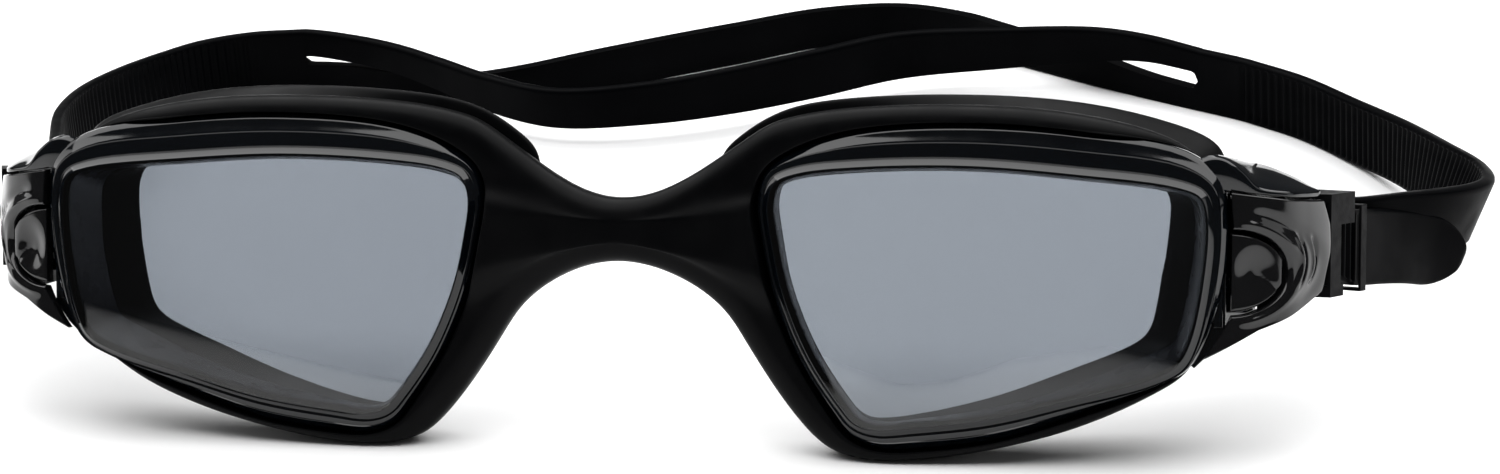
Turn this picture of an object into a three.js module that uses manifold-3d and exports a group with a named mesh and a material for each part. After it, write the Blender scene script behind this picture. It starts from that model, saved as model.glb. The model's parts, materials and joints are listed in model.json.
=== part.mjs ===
// Swim goggles: two smoked lens cups in a one-piece silicone frame, joined by its nose bridge, with a
// side clip on each lens that grips a split silicone head strap.
//
// Lengths are millimetres. Every rigid piece is drawn in the face frame: x to the wearer's left,
// y from the lens panes back to the face, z up the panes, for the +X eye. The -X eye is its mirror
// image. The face frame then leans back by LEAN, as the goggles stand on a table with the strap
// lying behind them: +X right as seen from the front, -Y to the front, +Z up.
import * as THREE from "three";
import { mergeVertices } from "three/addons/utils/BufferGeometryUtils.js";
import Module from "manifold-3d";

const wasm = await Module();
wasm.setup();

// Driving dimensions
const LEAN = THREE.MathUtils.degToRad(17); // how far the panes lean back from upright
const GAP = 0.35; // clearance between two pieces that touch
const TO_MIDDLE = 77; // from the foot of the panes back to the middle of the object
const FOOT = 0.2; // height of the pane plane's foot above the table
const PANE_THICK = 1.8;
const FLANGE_BACK = 3.4; // depth of the lens flange's rear face
const LENS_WALL = 1.3;
const CUP_DEPTH = { nasal: 5.4, outer: 8.5 }; // rear edge of the lens cup
const SEAL_DEPTH = { nasal: 7.4, outer: 12.6 }; // rear edge of the face seal
const COVER_THICK = 1.3;
const STRAP = { width: 9.2, thick: 1.8, mid: 26.4, tip: 8.5 }; // mid: height on the clip, tip: rounded end
const SLOT_WIDTH = 1.6; // the slot that splits the strap into two bands
const STRAP_LEAN = 0.4; // how far the strap's right side leans outwards where it turns back
const CLIP_SPLAY = THREE.MathUtils.degToRad(23); // the clips point outwards by this
const ROLLER = { x: 79.3, y: 16.2, r: 1.7, pin: 0.6 };
const LEVER = { x: 77.5, y: 7.6, boss: 1.3, pin: 0.6 };
const RAIL = { top: [31.3, 32.3], foot: [20.1, 21.5] }; // heights of the clip base's two rails
const PAD = { x: 73.2, z: 23.9, wide: 5.8, half: 4.6 }; // D-shaped thumb pad
const SAMPLES = 3; // points on each loop between two stations

// Pane edge, as x, z stations clockwise from the upper nasal corner, seen from the front
const PANE = [
  [18.4, 31.0], [19.3, 33.4], [21.8, 34.5], [29.0, 35.4], [42.0, 35.8], [55.0, 35.0],
  [66.8, 33.7], [69.4, 32.6], [70.2, 30.0], [69.8, 23.0], [68.4, 16.0], [67.0, 13.2],
  [64.0, 11.5], [54.0, 8.6], [45.0, 6.2], [36.0, 4.9], [31.2, 4.5], [29.0, 5.2],
  [27.2, 7.2], [23.5, 12.7], [20.4, 20.0], [19.0, 26.0],
];
// How far the lens flange reaches past the pane at each station
const BEZEL = [
  1.7, 2.0, 2.8, 4.3, 4.8, 4.9, 4.3, 3.1, 2.2, 2.2, 1.6, 1.2,
  1.1, 2.1, 2.7, 2.7, 2.4, 2.0, 1.7, 1.6, 1.6, 1.6,
];
// Outer edge of the silicone at the front rim
const RIM = [
  [11.4, 35.2], [14.6, 38.2], [19.2, 40.8], [28.3, 42.4], [41.0, 42.9], [54.0, 42.2],
  [66.0, 39.2], [69.8, 35.4], [70.4, 30.5], [70.2, 23.0], [69.2, 15.6], [67.9, 12.2],
  [65.0, 9.8], [54.9, 5.0], [45.9, 2.4], [36.8, 0.6], [30.2, 0.1], [25.6, 1.5],
  [22.3, 4.2], [17.4, 10.6], [13.2, 17.8], [11.2, 26.5],
];
// Outer edge of the face seal's flange
const SEAL = [
  [11.4, 36.0], [14.8, 39.4], [19.4, 42.0], [28.3, 43.4], [41.0, 43.8], [54.0, 43.0],
  [65.4, 40.4], [70.9, 37.6], [71.0, 31.8], [69.6, 23.5], [67.6, 17.2], [65.8, 14.4],
  [62.6, 12.2], [54.0, 8.4], [45.5, 5.8], [36.8, 4.2], [30.6, 3.8], [26.0, 4.8],
  [22.3, 7.2], [17.2, 12.6], [13.2, 18.8], [11.6, 27.0],
];
// Edge of the seal's opening
const OPENING = [
  [18.0, 31.0], [19.4, 33.3], [22.0, 33.9], [29.1, 34.6], [42.0, 35.0], [54.9, 34.2],
  [62.0, 33.4], [64.1, 32.2], [64.3, 29.4], [63.6, 23.4], [62.7, 17.4], [61.6, 15.2],
  [59.0, 13.6], [53.2, 11.3], [44.6, 8.0], [35.9, 5.8], [31.2, 5.1], [29.2, 5.4],
  [27.2, 7.2], [23.1, 12.5], [19.9, 19.8], [18.5, 25.9],
];
// 1 where the silicone lies wholly behind the lens flange, at the outer end of each cup
const BEHIND = [0, 0, 0, 0, 0, 0, 1, 1, 1, 1, 1, 1, 1, 0, 0, 0, 0, 0, 0, 0, 0, 0];

const { lerp, smoothstep } = THREE.MathUtils;

// Solids -----------------------------------------------------------------------------------------

function solid(geometry) {
  const plain = geometry.index ? geometry.toNonIndexed() : geometry.clone();
  plain.deleteAttribute("normal");
  plain.deleteAttribute("uv");
  const merged = mergeVertices(plain, 1e-4);
  return new wasm.Manifold(
    new wasm.Mesh({
      numProp: 3,
      vertProperties: merged.attributes.position.array,
      triVerts: new Uint32Array(merged.index.array),
    }),
  );
}

function geometryOf(made) {
  const { vertProperties, triVerts } = made.getMesh();
  const geometry = new THREE.BufferGeometry()
    .setAttribute("position", new THREE.BufferAttribute(vertProperties, 3))
    .setIndex(new THREE.BufferAttribute(triVerts, 1));
  geometry.computeVertexNormals();
  return geometry;
}

// Mirror image in the middle plane, with its faces turned to point out again
function mirrored(geometry) {
  const copy = geometry.index ? geometry.toNonIndexed() : geometry.clone();
  const turned = new THREE.BufferGeometry().setAttribute("position", copy.attributes.position);
  turned.scale(-1, 1, 1);
  const a = turned.attributes.position.array;
  for (let i = 0; i < a.length; i += 9)
    for (let k = 0; k < 3; k++) [a[i + k], a[i + 3 + k]] = [a[i + 3 + k], a[i + k]];
  return turned;
}

// Closed surface through equal loops of points. ends: "joined" closes the last loop onto the first,
// as round a ring; "fanned" fills the first and last loops, both convex, from one corner; "capped"
// fills them by triangles found with each loop flattened onto the two named axes.
function loft(loops, ends, flat = ["x", "z"]) {
  const n = loops[0].length;
  const index = [];
  const quads = (a, b) => {
    for (let i = 0; i < n; i++) {
      const j = (i + 1) % n;
      index.push(a * n + i, b * n + i, b * n + j, a * n + i, b * n + j, a * n + j);
    }
  };
  for (let k = 0; k + 1 < loops.length; k++) quads(k, k + 1);
  if (ends === "joined") quads(loops.length - 1, 0);
  else if (ends === "fanned")
    for (let i = 1; i + 1 < n; i++) {
      const k = (loops.length - 1) * n;
      index.push(0, i, i + 1, k, k + i + 1, k + i);
    }
  else
    [0, loops.length - 1].forEach((k) => {
      const outline = loops[k].map((p) => new THREE.Vector2(p[flat[0]], p[flat[1]]));
      const turn = THREE.ShapeUtils.isClockWise(outline);
      THREE.ShapeUtils.triangulateShape(turn ? outline.reverse() : outline, []).forEach((f) => {
        const [a, b, c] = f.map((i) => k * n + (turn ? n - 1 - i : i));
        if (turn === (k > 0)) index.push(a, b, c);
        else index.push(a, c, b);
      });
    });
  const geometry = new THREE.BufferGeometry().setFromPoints(loops.flat()).setIndex(index);
  return volumeOf(geometry) < 0 ? geometry.setIndex(index.reverse()) : geometry;
}

function volumeOf(geometry) {
  const [a, b, c] = [0, 0, 0].map(() => new THREE.Vector3());
  const { index, attributes } = geometry;
  let sum = 0;
  for (let i = 0; i < index.count; i += 3) {
    [a, b, c].forEach((v, k) => v.fromBufferAttribute(attributes.position, index.getX(i + k)));
    sum += a.dot(b.cross(c)) / 6;
  }
  return sum;
}

function shapeOf(points) {
  return new THREE.Shape(points.map(([u, v]) => new THREE.Vector2(u, v)));
}

// Plan outline (x, y) raised from one height to another
function prismZ(points, [z0, z1]) {
  const geometry = new THREE.ExtrudeGeometry(shapeOf(points), { depth: z1 - z0, bevelEnabled: false });
  return solid(geometry.translate(0, 0, z0));
}

// Front outline (x, z) run from one depth to another
function prismY(points, [y0, y1]) {
  const geometry = new THREE.ExtrudeGeometry(shapeOf(points), { depth: y1 - y0, bevelEnabled: false });
  return solid(geometry.rotateX(Math.PI / 2).translate(0, y1, 0));
}

function post(x, y, r, [z0, z1], sides = 20) {
  return solid(
    new THREE.CylinderGeometry(r, r, z1 - z0, sides).rotateX(Math.PI / 2).translate(x, y, (z0 + z1) / 2),
  );
}

const grown = ([z0, z1], by) => [z0 - by, z1 + by];

// Loops round an eye -----------------------------------------------------------------------------

// Pane stations moved outwards by a distance for each station
function offset(distances) {
  const n = PANE.length;
  return PANE.map(([x, z], i) => {
    const [ax, az] = PANE[(i + n - 1) % n];
    const [bx, bz] = PANE[(i + 1) % n];
    const length = Math.hypot(bx - ax, bz - az);
    return [x - ((bz - az) / length) * distances[i], z + ((bx - ax) / length) * distances[i]];
  });
}

// Smooth loop through the stations, at a depth for each station
function loop(stations, depth) {
  const points = stations.map(([x, z], i) => new THREE.Vector3(x, depth(x, i), z));
  const curve = new THREE.CatmullRomCurve3(points, true, "centripetal");
  const count = points.length * SAMPLES;
  return Array.from({ length: count }, (_, i) => curve.getPoint(i / count));
}

const outward = (x) => smoothstep(x, 24, 68);
const cupDepth = (x) => lerp(CUP_DEPTH.nasal, CUP_DEPTH.outer, outward(x));
const sealDepth = (x) => lerp(SEAL_DEPTH.nasal, SEAL_DEPTH.outer, outward(x));
// How far the cup's rear inner edge lies outside the pane edge
const draft = PANE.map(([x], i) => (BEHIND[i] && i > 6 ? -2.4 : -0.4 - 0.8 * outward(x)));
const even = (d) => PANE.map(() => d);
const plus = (list, d) => list.map((v) => v + d);

// Lens cup ---------------------------------------------------------------------------------------

const lensCup = loft(
  [
    loop(PANE, () => 0),
    loop(offset(even(0.6)), () => 0.5),
    loop(offset(BEZEL.map((b) => lerp(0.6, b, 0.5))), () => 1.0),
    loop(offset(BEZEL), () => 1.7),
    loop(offset(BEZEL), () => FLANGE_BACK),
    loop(offset(even(LENS_WALL - 0.4)), () => FLANGE_BACK),
    loop(offset(plus(draft, LENS_WALL)), cupDepth),
    loop(offset(draft), cupDepth),
    loop(offset(even(-0.4)), () => PANE_THICK),
  ],
  "capped",
);

// Side clip in plan: the cover's outer face, from the lens lip round to the side
const coverCurve = new THREE.SplineCurve(
  [[70.0, 0.9], [72.8, 1.2], [76.3, 2.8], [79.1, 4.9], [81.0, 8.3], [82.6, 12.4]].map(
    (p) => new THREE.Vector2(...p),
  ),
);
const COVER_STEPS = 16;

// Points of the cover's outer face, moved inwards by a depth, over part of its run
function coverFace(depth, from = 0, to = 1) {
  return Array.from({ length: COVER_STEPS + 1 }, (_, i) => {
    const t = lerp(from, to, i / COVER_STEPS);
    const p = coverCurve.getPoint(t);
    const along = coverCurve.getTangent(t);
    return [p.x - along.y * depth, p.y + along.x * depth];
  });
}

const band = (outer, inner, from, to) => [
  ...coverFace(outer, from, to),
  ...coverFace(inner, from, to).reverse(),
];

// Arm that carries the clip, and the shoulder above the cover, both moulded with the lens
const armPlan = [
  [70.9, 2.0], [71.9, 2.2], [72.3, 5.2], [74.0, 7.8],
  [74.8, 12.2], [72.6, 12.4], [71.8, 8.8], [70.9, 6.4],
];
// The shoulder's sections along x: depths of its front and back, heights of the same two edges
const SHOULDER = [
  [70.3, 1.15, 3.0, 37.3, 37.6], [71.9, 1.3, 5.0, 37.2, 37.2], [74.0, 2.0, 8.6, 35.8, 36.4],
  [76.0, 2.9, 12.2, 33.6, 35.7], [79.2, 5.4, 12.6, 33.1, 34.4], [81.0, 8.7, 12.6, 32.8, 33.3],
  [82.3, 12.0, 12.6, 32.6, 32.7],
];
const shoulder = loft(
  SHOULDER.map(([x, front, back, low, high]) => {
    const foot = lerp(33.8, 32.3, (x - 70) / 12);
    return [[front, foot], [front, low], [back, high], [back, foot]].map(
      ([y, z]) => new THREE.Vector3(x, y, z),
    );
  }),
  "fanned",
);
// Lip behind the seam between the flange and the cover
const lipFront = [
  [67.6, 13.4], [68.6, 12.5], [70.6, 14.5], [72.2, 16.9], [72.2, 33.4], [70.6, 33.4],
  [70.4, 22.0], [69.0, 16.0],
];
const lens = solid(lensCup)
  .add(prismZ(armPlan, [17.4, 34.2]))
  .add(prismY(lipFront, [2.9, FLANGE_BACK]))
  .add(solid(shoulder));

// Silicone frame ---------------------------------------------------------------------------------

const rimFront = (x, i) => (BEHIND[i] ? FLANGE_BACK + GAP : 0.9);
const seat = (i) => (BEHIND[i] ? -0.7 : GAP);
const wellBehind = (i) => BEHIND[i - 1] && BEHIND[i] && BEHIND[i + 1];
const rimInside = BEZEL.map((b, i) => b + (wellBehind(i) ? -0.2 : GAP));
const SEAL_RISE = Math.tan(LEAN) * 1.1; // the underside rises at least this steeply, clear of the table

// Silicone outer edge at a depth behind the rim, its underside lifted clear of the table
function lifted(stations, depth, inset) {
  return stations.map(([x, z]) => {
    const [cx, cz] = [43, 22];
    const length = Math.hypot(cx - x, cz - z);
    const up = Math.max(z + ((cz - z) / length) * inset, depth * SEAL_RISE * (z < 6 ? 1 : 0));
    return [x + ((cx - x) / length) * inset, up];
  });
}

const gasket = loft(
  [
    loop(offset(rimInside), rimFront),
    loop(lifted(RIM, 0.9, 0.5), rimFront),
    loop(lifted(RIM, 1.7, 0), (x, i) => rimFront(x, i) + 0.7),
    loop(lifted(RIM, 4.2, 0), () => 4.9),
    loop(lifted(RIM, 5.4, 1.2), () => 5.8),
    loop(SEAL, (x) => sealDepth(x) - 0.9),
    loop(OPENING, sealDepth),
    loop(offset(draft), (x) => cupDepth(x) + GAP),
    loop(offset(plus(draft, LENS_WALL + GAP)), (x) => cupDepth(x) + GAP),
    loop(offset(even(LENS_WALL - 0.4 + GAP)), () => FLANGE_BACK + GAP),
    loop(offset(BEZEL.map((b, i) => b + seat(i))), () => FLANGE_BACK + GAP + 0.01),
  ],
  "joined",
);

// Nose bridge as rounded sections along x: half-way x, foot and top heights, front and back depths
const BRIDGE = [
  [14.6, 17.6, 36.6, 1.2, 5.6], [11.6, 18.6, 35.8, 1.0, 5.4], [8.4, 21.2, 33.8, 0.4, 4.8],
  [5.0, 22.8, 32.1, -0.2, 4.4], [2.0, 23.5, 31.3, -0.5, 4.2], [0, 23.6, 31.2, -0.6, 4.2],
];
const bridgeSection = (sign) => ([x, z0, z1, y0, y1]) =>
  Array.from({ length: 16 }, (_, i) => {
    const turn = ((i + 0.5) / 16) * 2 * Math.PI;
    const soft = (v) => Math.sign(v) * Math.abs(v) ** 0.6;
    return new THREE.Vector3(
      sign * x,
      lerp(y0, y1, 0.5 + 0.5 * soft(Math.cos(turn))),
      lerp(z0, z1, 0.5 + 0.5 * soft(Math.sin(turn))),
    );
  });
const bridge = loft(
  [...BRIDGE.map(bridgeSection(-1)), ...BRIDGE.slice(0, -1).reverse().map(bridgeSection(1))],
  "capped",
  ["y", "z"],
);
const siliconeFrame = solid(gasket).add(solid(mirrored(gasket))).add(solid(bridge));

// Side clip --------------------------------------------------------------------------------------

// Half ellipse of the thumb pad, grown by a margin, closed on its straight side at x
function padOutline(margin, x) {
  const curve = new THREE.EllipseCurve(
    PAD.x, PAD.z, PAD.wide + margin, PAD.half + margin, -Math.PI / 2, Math.PI / 2,
  );
  const arc = curve.getPoints(20).map((p) => [p.x, p.y]);
  return [[x, PAD.z - PAD.half - margin], ...arc, [x, PAD.z + PAD.half + margin]];
}

const coverFront = [
  [69.75, 13.6], [83.4, 21.0], [83.4, 31.9], [79.0, 32.4], [72.9, 33.4], [72.7, 28.0], [72.5, 19.4],
  [71.3, 16.4],
];
// Grip ridges beside the pad: centre height, half height and place along the cover's run
const RIDGES = [
  { t: 0.7, half: 2.6 },
  { t: 0.82, half: 2.2 },
];
const ridges = RIDGES.map(({ t, half }) => {
  const x = coverCurve.getPoint(t).x;
  const arc = (bulge) =>
    Array.from({ length: 9 }, (_, i) => {
      const s = i / 4 - 1;
      return [x + bulge * (1 - s * s) - 0.5, PAD.z + 2.2 + s * half];
    });
  return prismY([...arc(0.9), ...arc(0.45).reverse()], [0, 14]).intersect(
    prismZ(band(-0.3, 0.6, 0.4, 1), [18, 34]),
  );
});
const clipCover = ridges.reduce(
  (made, ridge) => made.add(ridge),
  prismZ(band(0, COVER_THICK, 0, 1), [13, 34])
    .intersect(prismY(coverFront, [0, 16]))
    .subtract(prismY(padOutline(0.4, 69), [0, 8])),
);

// Place in plan that is u outwards and v back from the roller, on the splayed clip
function place(u, v) {
  const [c, s] = [Math.cos(CLIP_SPLAY), Math.sin(CLIP_SPLAY)];
  return [ROLLER.x + u * c + v * s, ROLLER.y - u * s + v * c];
}
const box = (u0, u1, v0, v1, heights) =>
  prismZ([place(u0, v0), place(u1, v0), place(u1, v1), place(u0, v1)], heights);

const REACH = ROLLER.r + GAP + STRAP.thick; // the strap's outer face, from the roller's axis
const WALL = 0.9;
const RAIL_END = { top: 4.6, foot: 1.9 }; // how far back the rails and the outer wall reach
const railPlan = (end) => [
  place(-REACH - GAP - WALL, -4.2), place(0.2, -10.4), place(6.2, -10.4),
  place(REACH + GAP + WALL, -2), place(REACH + GAP + WALL, end), place(-REACH - GAP - WALL, end),
];
const underCover = prismZ(
  [
    ...coverFace(2.6, 0.3, 0.6), ...coverFace(COVER_THICK + GAP, 0.68, 1),
    [81.4, 13.0], [96, 13.0], [96, 30], [70, 30], [70, 13.0], [74.9, 12.7],
  ],
  [15, 35],
);
const rail = (heights, end) => prismZ(railPlan(end), heights).intersect(underCover);
const trayPlan = [[75.5, 5.6], [78.4, 6.6], [78.4, 12.9], [75.7, 12.7]]; // closes the clip below the pad
const clipBase = rail(RAIL.top, RAIL_END.top)
  .add(rail(RAIL.foot, RAIL_END.foot))
  .add(prismZ(trayPlan, [18.4, RAIL.foot[0] + 0.1]).intersect(underCover))
  .add(box(-REACH - GAP - WALL, -REACH - GAP, -4, RAIL_END.foot, [RAIL.foot[0], RAIL.top[1]]))
  .add(box(REACH + GAP, REACH + GAP + WALL, -1.4, 1.2, [RAIL.foot[0], RAIL.top[1]]))
  .add(box(REACH + GAP, REACH + GAP + WALL, 1.2, RAIL_END.top, [28.6, RAIL.top[1]]))
  .subtract(post(ROLLER.x, ROLLER.y, ROLLER.pin + GAP, [19, 34]))
  .subtract(post(LEVER.x, LEVER.y, LEVER.pin + GAP, [19, 34]));

const pinHeights = [RAIL.foot[0] + 0.2, RAIL.top[1] - 0.2];
const bodyHeights = [RAIL.foot[1] + GAP, RAIL.top[0] - GAP];
const strapRoller = post(ROLLER.x, ROLLER.y, ROLLER.r, bodyHeights, 28).subtract(
  post(ROLLER.x, ROLLER.y, ROLLER.pin + GAP, grown(bodyHeights, 1)),
);

// Lever: thumb pad, stem, boss on its pin, and a tail whose tooth meets the strap on the roller
const padPlate = prismZ(band(0.5, 1.7, 0.1, 0.75), [18, 30]).intersect(
  prismY(padOutline(0, PAD.x - 0.1), [0, 9]),
);
const bossHeights = [bodyHeights[0], 26.4];
const stemPlan = [[75.0, 3.6], [77.9, 5.3], [78.6, 7.2], [76.6, 7.6], [75.4, 5.6]];
const toothTip = [ROLLER.x + 0.45, ROLLER.y - REACH - GAP - 0.1];
const tailPlan = [[76.7, 8.2], [78.5, 7.8], [80.0, 10.6], toothTip, [79.1, 11.4]];
const releaseLever = padPlate
  .add(prismZ(stemPlan, [22.4, 26.0]))
  .add(post(LEVER.x, LEVER.y, LEVER.boss, bossHeights))
  .add(prismZ(tailPlan, [22.4, 26.0]))
  .subtract(post(LEVER.x, LEVER.y, LEVER.pin + 0.2, grown(bossHeights, 1)));

// Torsion spring round the lever pin, above the boss
const SPRING = { turns: 3.5, r: 1.1, wire: 0.18, z: [bossHeights[1] + 0.6, bodyHeights[1] - 0.5] };
class Helix extends THREE.Curve {
  getPoint(t) {
    const turn = t * SPRING.turns * 2 * Math.PI;
    return new THREE.Vector3(
      LEVER.x + SPRING.r * Math.cos(turn),
      LEVER.y + SPRING.r * Math.sin(turn),
      lerp(SPRING.z[0], SPRING.z[1], t),
    );
  }
}
const wireSection = new THREE.Shape(
  new THREE.EllipseCurve(0, 0, SPRING.wire, SPRING.wire, 0, 2 * Math.PI).getPoints(6).slice(0, 6),
);
const leverSpring = solid(
  new THREE.ExtrudeGeometry(wireSection, { steps: 56, extrudePath: new Helix(), bevelEnabled: false }),
);

// Keeper: a loop round the strap's tail
const KEEPER = { u: [1.2, 4.8], v: [6.9, 8.4], z: [20.1, 30.5], wall: 0.35 };
const strapKeeper = box(...KEEPER.u, ...KEEPER.v, KEEPER.z).subtract(
  box(
    KEEPER.u[0] + KEEPER.wall, KEEPER.u[1] - KEEPER.wall, KEEPER.v[0] - 1, KEEPER.v[1] + 1,
    grown(KEEPER.z, -KEEPER.wall),
  ),
);

// Head strap -------------------------------------------------------------------------------------

// The face frame as it stands on the table
const standing = new THREE.Matrix4().makeRotationX(-LEAN).setPosition(0, -TO_MIDDLE, FOOT);
const clipUp = new THREE.Vector3(0, Math.sin(LEAN), Math.cos(LEAN));
const run = ROLLER.r + GAP + STRAP.thick / 2; // the strap's middle line, from the roller's axis

// Middle line through the clip, as u, v and how far it droops: the tail from its tip, round the
// roller, and the leg out
const THROUGH_CLIP = [
  [4.5, 34.6, 4.2], [4.2, 33, 3.9], [3.8, 31, 3.5], [3.3, 28, 3.0], [2.9, 22, 2.2], [2.7, 16, 1.7],
  [2.8, 11, 1.4], [run, 7, 1.0], [run, 3.6, 0.1], [run, 2.4, 0],
  ...Array.from({ length: 9 }, (_, i) => {
    const turn = (i / 8) * Math.PI;
    return [run * Math.cos(turn), -run * Math.sin(turn), 0];
  }),
  [-run, 3.5, 0], [-run, 7, 0], [-2.6, 11, 0],
];
// The rest of each leg to the slit, as x, y from the panes' foot, height of its middle
const RIGHT_LEG = [
  [84.9, 34.6, 17.0], [91.0, 42.2, 14.9], [95.8, 50.4, 12.8], [98.4, 58.5, 11], [97.2, 67.5, 9.6],
  [92.6, 79, 7.8], [87, 91, 6.1], [80, 102, 4.8], [72, 111.4, 4.6], [64, 117.8, 4.6], [57.3, 121.8, 4.6],
];
const LEFT_LEG = [
  [-83.6, 38, 16.4], [-88.2, 50, 14.2], [-93.0, 62, 12.4], [-97.4, 75, 10.8], [-99.2, 88, 9.2],
  [-98.4, 100, 7.6], [-95.8, 112, 5.9], [-92.5, 120, 4.9], [-86.5, 124.5, 4.6], [-79, 126, 4.6],
];
// The two bands beyond the slit's ends, with their width as a fourth number
const BAND_WIDTH = (STRAP.width - SLOT_WIDTH) / 2;
const [UPPER, LOWER] = [STRAP.width - BAND_WIDTH / 2, BAND_WIDTH / 2]; // middles of the stacked bands
const UPPER_BAND = [
  [64, 117.8, UPPER, BAND_WIDTH], [57.3, 121.8, UPPER, BAND_WIDTH], [49, 125.9, 7.7, 4.2],
  [41, 128.6, 7.5, 5.0], [26, 130, 6.2, 6.1], [12, 127, 6.0, 7.0], [1, 118.5, 6.1, 7.1],
  [-10, 111.5, 5.9, 6.8], [-21, 106.5, 5.7, 6.1], [-34, 105, 5.3, 5.7], [-46, 110.5, 5.5, 5.4],
  [-55, 116.2, 6.2, 4.6], [-62, 120, 6.9, 4.2], [-70, 123.8, 7.1, 4.0], [-79, 126, UPPER, BAND_WIDTH],
  [-86.5, 124.5, UPPER, BAND_WIDTH],
];
const LOWER_BAND = [
  [64, 117.8, LOWER, BAND_WIDTH], [57.3, 121.8, LOWER, BAND_WIDTH], [49, 126.6, 2.1, 4.2],
  [41, 131.4, 2.4, 4.8], [26, 141.4, 2.8, 5.6], [18, 147, 2.8, 5.6], [8, 150.4, 2.8, 5.6],
  [-3, 147.6, 2.9, 5.8], [-15, 139.2, 3.1, 6.2], [-25, 132.6, 3.1, 6.2], [-34, 126.4, 3.1, 6.2],
  [-43, 121, 2.9, 5.8], [-52, 119.3, 2.4, 4.8], [-62, 121.4, 2.15, 4.3], [-70, 124.3, 2.15, 4.3],
  [-79, 126, LOWER, BAND_WIDTH], [-86.5, 124.5, LOWER, BAND_WIDTH],
];

const onTable = ([x, y, z]) => new THREE.Vector3(x, y - TO_MIDDLE, z);
const throughClip = (side) =>
  THROUGH_CLIP.map(([u, v, droop]) => {
    const [x, y] = place(u, v);
    return new THREE.Vector3(side * x, y, STRAP.mid - droop).applyMatrix4(standing);
  });

// Flat band along a middle line, its edges upright on the table and square to the face in the clip
function ribbon(line, widths, tip = 0) {
  const samples = 3; // sections between two points of the line
  const curve = new THREE.CatmullRomCurve3(line, false, "centripetal");
  const count = (line.length - 1) * samples;
  const loops = Array.from({ length: count + 1 }, (_, i) => {
    const p = curve.getPoint(i / count);
    const from = Math.min(Math.floor(i / samples), line.length - 2);
    const width = THREE.MathUtils.lerp(widths[from], widths[from + 1], i / samples - from);
    const depth = p.y + TO_MIDDLE;
    const up = clipUp.clone().lerp(new THREE.Vector3(0, 0, 1), smoothstep(depth, 28, 58));
    const turning = smoothstep(depth, 38, 54) * (1 - smoothstep(depth, 62, 96));
    if (p.x > 0) up.x = STRAP_LEAN * turning;
    up.normalize();
    const across = curve.getTangent(i / count).cross(up).setLength(STRAP.thick / 2);
    const s = Math.min(1, (p.distanceTo(line[0]) + 0.25) / (tip || 0.25));
    up.multiplyScalar((width / 2) * Math.sqrt(1 - (1 - s) ** 2));
    return [[1, 1], [-1, 1], [-1, -1], [1, -1]].map(([a, b]) =>
      p.clone().addScaledVector(across, a).addScaledVector(up, b),
    );
  });
  return solid(loft(loops, "fanned"));
}

function leg(side, points) {
  const line = [...throughClip(side), ...points.map(onTable)];
  return ribbon(line, line.map(() => STRAP.width), STRAP.tip);
}

const strapBand = (stations) => ribbon(stations.map(onTable), stations.map((station) => station[3]));

const headStrap = leg(1, RIGHT_LEG).add(leg(-1, LEFT_LEG)).add(strapBand(UPPER_BAND)).add(strapBand(LOWER_BAND));

// Assembly ---------------------------------------------------------------------------------------

const finish = (color, roughness, more = {}) =>
  new THREE.MeshStandardMaterial({ color, roughness, metalness: 0, ...more });
const FINISH = {
  silicone: finish(0x17181a, 0.85),
  smoke: finish(0x33363d, 0.08, { transparent: true, opacity: 0.6 }),
  gloss: finish(0x101114, 0.12),
  matte: finish(0x1b1c1f, 0.6),
  steel: finish(0x9a9da1, 0.3, { metalness: 1 }),
};

const goggles = new THREE.Group();
const face = new THREE.Group();
face.applyMatrix4(standing);
goggles.add(face);

function addMesh(group, name, geometry, material) {
  const mesh = new THREE.Mesh(geometry, material);
  mesh.name = name;
  group.add(mesh);
}

addMesh(face, "silicone_frame", geometryOf(siliconeFrame), FINISH.silicone);
addMesh(goggles, "head_strap", geometryOf(headStrap), FINISH.silicone);

const SIDE_PIECES = [
  ["lens", lens, FINISH.smoke],
  ["clip_cover", clipCover, FINISH.gloss],
  ["clip_base", clipBase, FINISH.matte],
  ["release_lever", releaseLever, FINISH.gloss],
  ["lever_pin", post(LEVER.x, LEVER.y, LEVER.pin, pinHeights), FINISH.steel],
  ["lever_spring", leverSpring, FINISH.steel],
  ["strap_roller", strapRoller, FINISH.matte],
  ["roller_pin", post(ROLLER.x, ROLLER.y, ROLLER.pin, pinHeights), FINISH.steel],
  ["strap_keeper", strapKeeper, FINISH.matte],
].map(([name, made, material]) => [name, geometryOf(made), material]);

for (const [side, sign] of [["right", 1], ["left", -1]]) {
  const group = new THREE.Group();
  group.scale.x = sign;
  face.add(group);
  SIDE_PIECES.forEach(([name, geometry, material]) =>
    addMesh(group, `${side}_${name}`, geometry, material),
  );
}

export default goggles;
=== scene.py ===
"""Swim goggles on a pale table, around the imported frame: skins for the silicone frame, the smoked
lenses, the clip covers, the thumb pads and the head strap, the CAD meshes of the clips' other parts,
and procedural materials. Works in metres; the tables below are millimetres in the face frame
(x outwards, y back from the panes, z up the panes)."""

import json
import math

import bmesh
import bpy
import numpy as np
from mathutils import Matrix, Vector

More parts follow.
